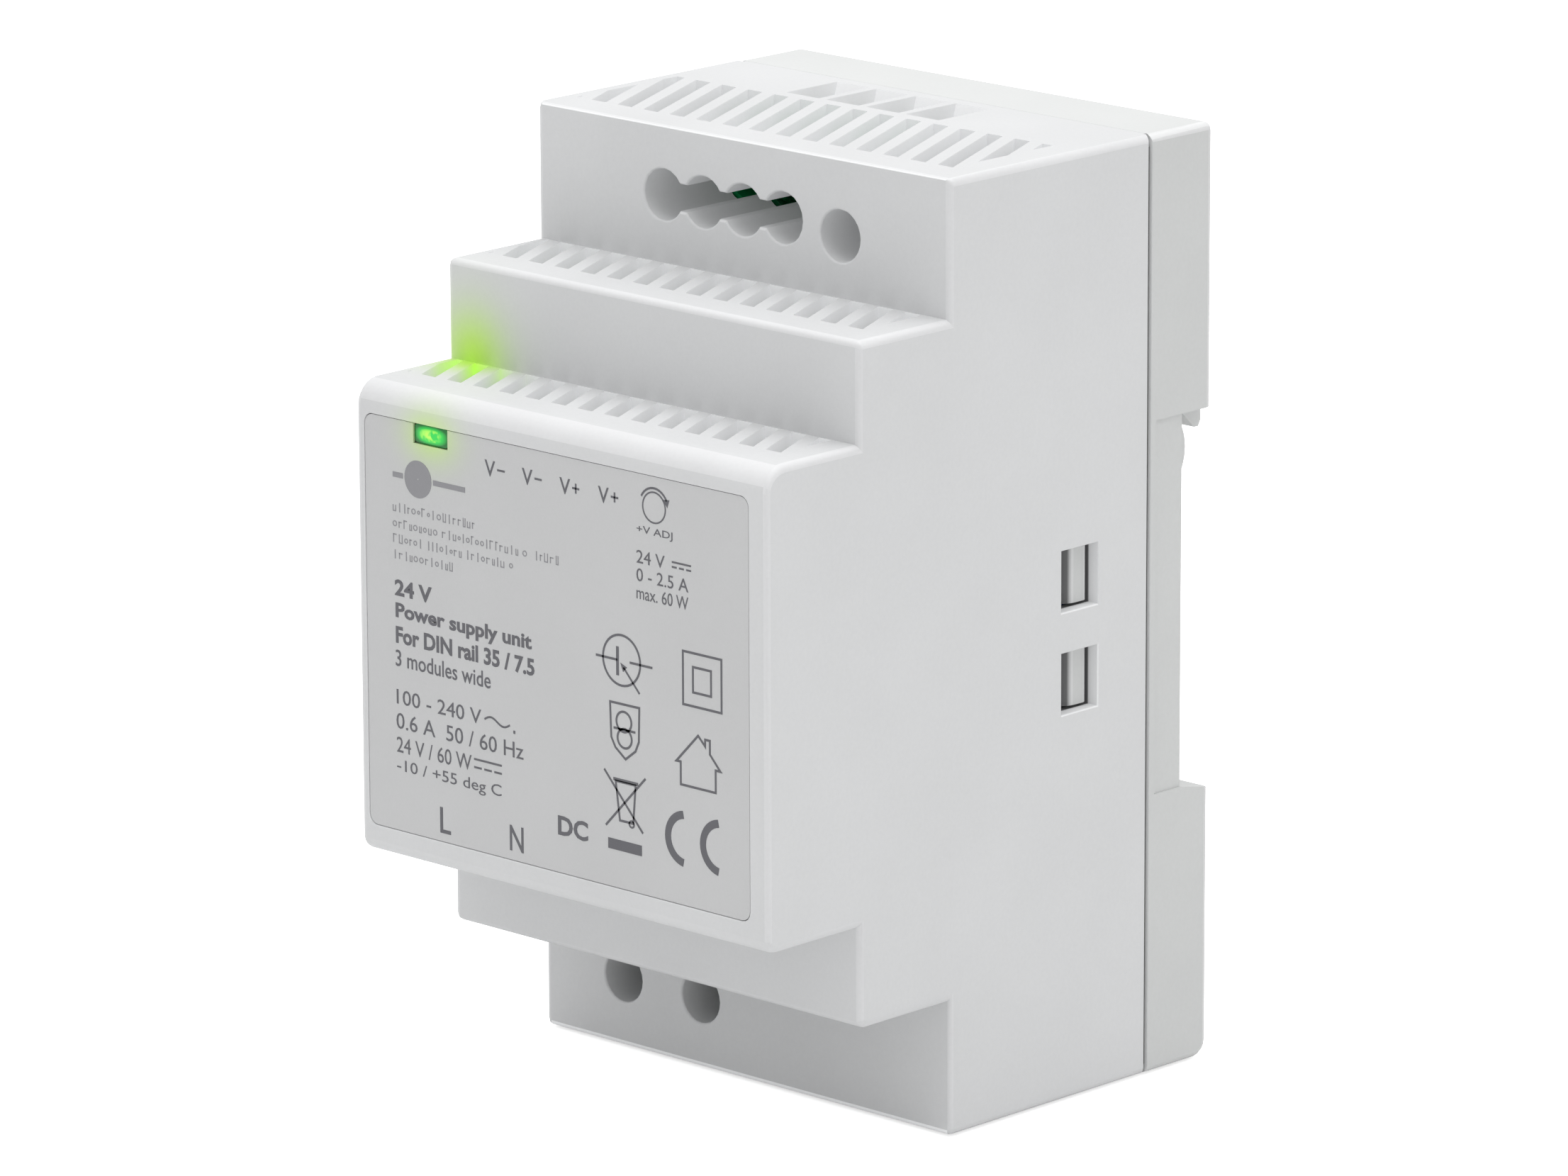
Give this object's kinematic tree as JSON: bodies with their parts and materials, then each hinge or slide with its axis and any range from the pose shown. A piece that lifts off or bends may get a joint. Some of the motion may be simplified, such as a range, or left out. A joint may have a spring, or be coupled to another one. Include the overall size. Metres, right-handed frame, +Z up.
{
  "type": "din rail power supply",
  "caption": "Stepped modular power supply that clips on a 35 mm rail, with recessed screw terminals, an output trimmer, a status lamp, slanted vents and a sprung rail latch.",
  "frame": {"origin": "centre of the face that rests on the front of the rail", "axes": "+Y out of the back, towards the rail; +Z up the unit; +X to the right seen from the front"},
  "size_m": [0.0524, 0.0598, 0.09],
  "materials": {
    "case_plastic": "light grey moulded plastic, fine spark-eroded texture",
    "base_plastic": "light grey moulded plastic, slightly smoother",
    "latch_plastic": "dark grey moulded plastic",
    "label_film": "grey printed polyester film, satin",
    "lamp_lens": "clear green moulded lens, lit from behind",
    "terminal_plastic": "dark green moulded terminal plastic",
    "board_laminate": "green solder resist on glass laminate",
    "zinc_steel": "zinc plated steel",
    "tinned_brass": "tinned brass",
    "trimmer_blue": "blue moulded trimmer case",
    "rotor_white": "off-white moulded rotor",
    "ferrite": "dark grey sintered ferrite",
    "winding_tape": "yellow polyester winding tape",
    "copper_wire": "enamelled copper wire",
    "capacitor_sleeve": "dark shrunk sleeve",
    "film_box": "ochre potted box",
    "ceramic_disc": "blue dipped epoxy",
    "black_epoxy": "black moulded epoxy",
    "heatsink_aluminium": "plain extruded aluminium"
  },
  "bodies": {
    "case": {"front_housing": "case_plastic", "rear_base": "base_plastic", "latch_spring": "zinc_steel", "front_label": "label_film", "led_light_pipe": "lamp_lens", "status_led": "lamp_lens", "main_board": "board_laminate", "output_terminal_body": "terminal_plastic", "input_terminal_body": "terminal_plastic", "trimmer_body": "trimmer_blue", "transformer_core": "ferrite", "transformer_winding": "winding_tape", "input_choke_core": "ferrite", "input_choke_winding": "copper_wire", "bulk_capacitor": "capacitor_sleeve", "output_capacitor_1": "capacitor_sleeve", "output_capacitor_2": "capacitor_sleeve", "output_inductor": "ferrite", "x_capacitor": "film_box", "y_capacitor": "ceramic_disc", "varistor": "ceramic_disc", "inrush_thermistor": "black_epoxy", "bridge_rectifier": "black_epoxy", "input_fuse": "film_box", "power_transistor": "black_epoxy", "transistor_heatsink": "heatsink_aluminium", "output_diode": "black_epoxy", "diode_heatsink": "heatsink_aluminium", "optocoupler": "black_epoxy", "controller_chip": "black_epoxy", "output_contact_1": "tinned_brass", "output_contact_2": "tinned_brass", "output_contact_3": "tinned_brass", "output_contact_4": "tinned_brass", "input_contact_1": "tinned_brass", "input_contact_2": "tinned_brass"},
    "latch": {"rail_latch": "latch_plastic"},
    "trimmer_shaft": {"trimmer_rotor": "rotor_white"},
    "output_screw_1": {"output_screw_1": "zinc_steel"},
    "output_clamp_1": {"output_clamp_1": "zinc_steel"},
    "output_screw_2": {"output_screw_2": "zinc_steel"},
    "output_clamp_2": {"output_clamp_2": "zinc_steel"},
    "output_screw_3": {"output_screw_3": "zinc_steel"},
    "output_clamp_3": {"output_clamp_3": "zinc_steel"},
    "output_screw_4": {"output_screw_4": "zinc_steel"},
    "output_clamp_4": {"output_clamp_4": "zinc_steel"},
    "input_screw_1": {"input_screw_1": "zinc_steel"},
    "input_clamp_1": {"input_clamp_1": "zinc_steel"},
    "input_screw_2": {"input_screw_2": "zinc_steel"},
    "input_clamp_2": {"input_clamp_2": "zinc_steel"}
  },
  "joints": [
    {"name": "latch_pull", "type": "slide", "parent": "case", "child": "latch", "axis": [0, 0, -1], "range_m": [0, 0.004], "stiffness_N_per_m": 800, "springref_m": -0.001, "deforming": ["latch_spring"]},
    {"name": "voltage_trim", "type": "hinge", "parent": "case", "child": "trimmer_shaft", "pos_m": [0.0125, -0.0095, 0.03775], "axis": [0, 1, 0], "range_deg": [-120, 120]},
    {"name": "output_screw_1_turn", "type": "hinge", "parent": "case", "child": "output_screw_1", "pos_m": [-0.00995, -0.0145, 0.0384], "axis": [0, 1, 0], "range_deg": [0, 1440.1]},
    {"name": "output_clamp_1_lift", "type": "slide", "parent": "case", "child": "output_clamp_1", "axis": [0, -1, 0], "range_m": [0, 0.002]},
    {"name": "output_screw_2_turn", "type": "hinge", "parent": "case", "child": "output_screw_2", "pos_m": [-0.00487, -0.0145, 0.0384], "axis": [0, 1, 0], "range_deg": [0, 1440.1]},
    {"name": "output_clamp_2_lift", "type": "slide", "parent": "case", "child": "output_clamp_2", "axis": [0, -1, 0], "range_m": [0, 0.002]},
    {"name": "output_screw_3_turn", "type": "hinge", "parent": "case", "child": "output_screw_3", "pos_m": [0.00021, -0.0145, 0.0384], "axis": [0, 1, 0], "range_deg": [0, 1440.1]},
    {"name": "output_clamp_3_lift", "type": "slide", "parent": "case", "child": "output_clamp_3", "axis": [0, -1, 0], "range_m": [0, 0.002]},
    {"name": "output_screw_4_turn", "type": "hinge", "parent": "case", "child": "output_screw_4", "pos_m": [0.00529, -0.0145, 0.0384], "axis": [0, 1, 0], "range_deg": [0, 1440.1]},
    {"name": "output_clamp_4_lift", "type": "slide", "parent": "case", "child": "output_clamp_4", "axis": [0, -1, 0], "range_m": [0, 0.002]},
    {"name": "input_screw_1_turn", "type": "hinge", "parent": "case", "child": "input_screw_1", "pos_m": [-0.01596, -0.0145, -0.03815], "axis": [0, 1, 0], "range_deg": [0, 1440.1]},
    {"name": "input_clamp_1_lift", "type": "slide", "parent": "case", "child": "input_clamp_1", "axis": [0, -1, 0], "range_m": [0, 0.002]},
    {"name": "input_screw_2_turn", "type": "hinge", "parent": "case", "child": "input_screw_2", "pos_m": [-0.00579, -0.0145, -0.03815], "axis": [0, 1, 0], "range_deg": [0, 1440.1]},
    {"name": "input_clamp_2_lift", "type": "slide", "parent": "case", "child": "input_clamp_2", "axis": [0, -1, 0], "range_m": [0, 0.002]}
  ],
  "couplings": [
    {"joint": "output_screw_1_turn", "follows": "output_clamp_1_lift", "rad_per_m": 12566},
    {"joint": "output_screw_2_turn", "follows": "output_clamp_2_lift", "rad_per_m": 12566},
    {"joint": "output_screw_3_turn", "follows": "output_clamp_3_lift", "rad_per_m": 12566},
    {"joint": "output_screw_4_turn", "follows": "output_clamp_4_lift", "rad_per_m": 12566},
    {"joint": "input_screw_1_turn", "follows": "input_clamp_1_lift", "rad_per_m": 12566},
    {"joint": "input_screw_2_turn", "follows": "input_clamp_2_lift", "rad_per_m": 12566}
  ]
}
